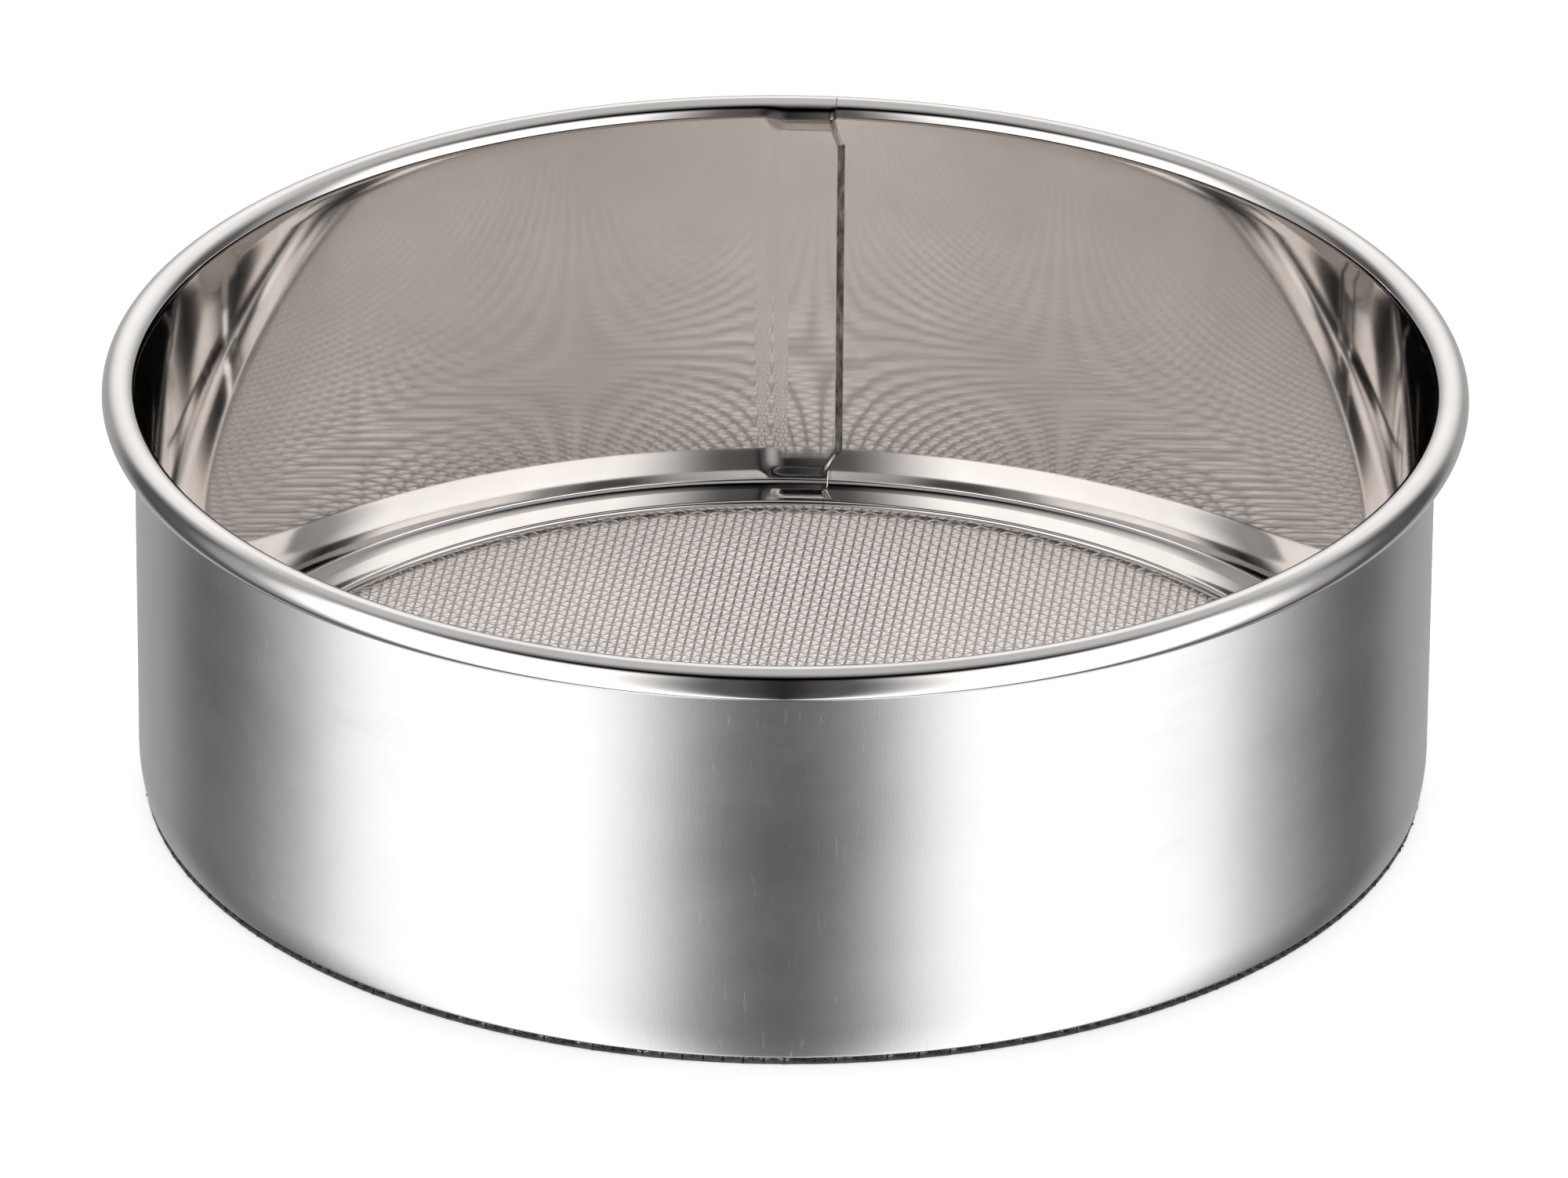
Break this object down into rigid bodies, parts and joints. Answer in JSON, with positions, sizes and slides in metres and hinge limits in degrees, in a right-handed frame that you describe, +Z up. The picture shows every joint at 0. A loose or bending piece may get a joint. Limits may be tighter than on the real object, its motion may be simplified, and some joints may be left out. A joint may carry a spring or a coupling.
{
  "type": "soil sieve",
  "caption": "Round hand sieve: rolled sheet-metal hoop with a wired rim, a lapped seam and a fine woven wire mesh across its bottom.",
  "frame": {"origin": "centre of the base, on the plane where the lowest mesh wires rest", "axes": "+Z up along the axis of the hoop; the lap seam is at the back on +Y; -Y is the front and +X the right-hand side seen from the front"},
  "size_m": [0.24, 0.24, 0.0775],
  "materials": {
    "hoop_steel": "bright rolled stainless sheet, near mirror, with faint rolling lines",
    "core_wire": "drawn steel wire",
    "mesh_wire": "drawn stainless wire, satin"
  },
  "bodies": {
    "root": {"hoop": "hoop_steel", "rim_wire": "core_wire", "warp_wires": "mesh_wire", "weft_wires": "mesh_wire"}
  },
  "joints": []
}
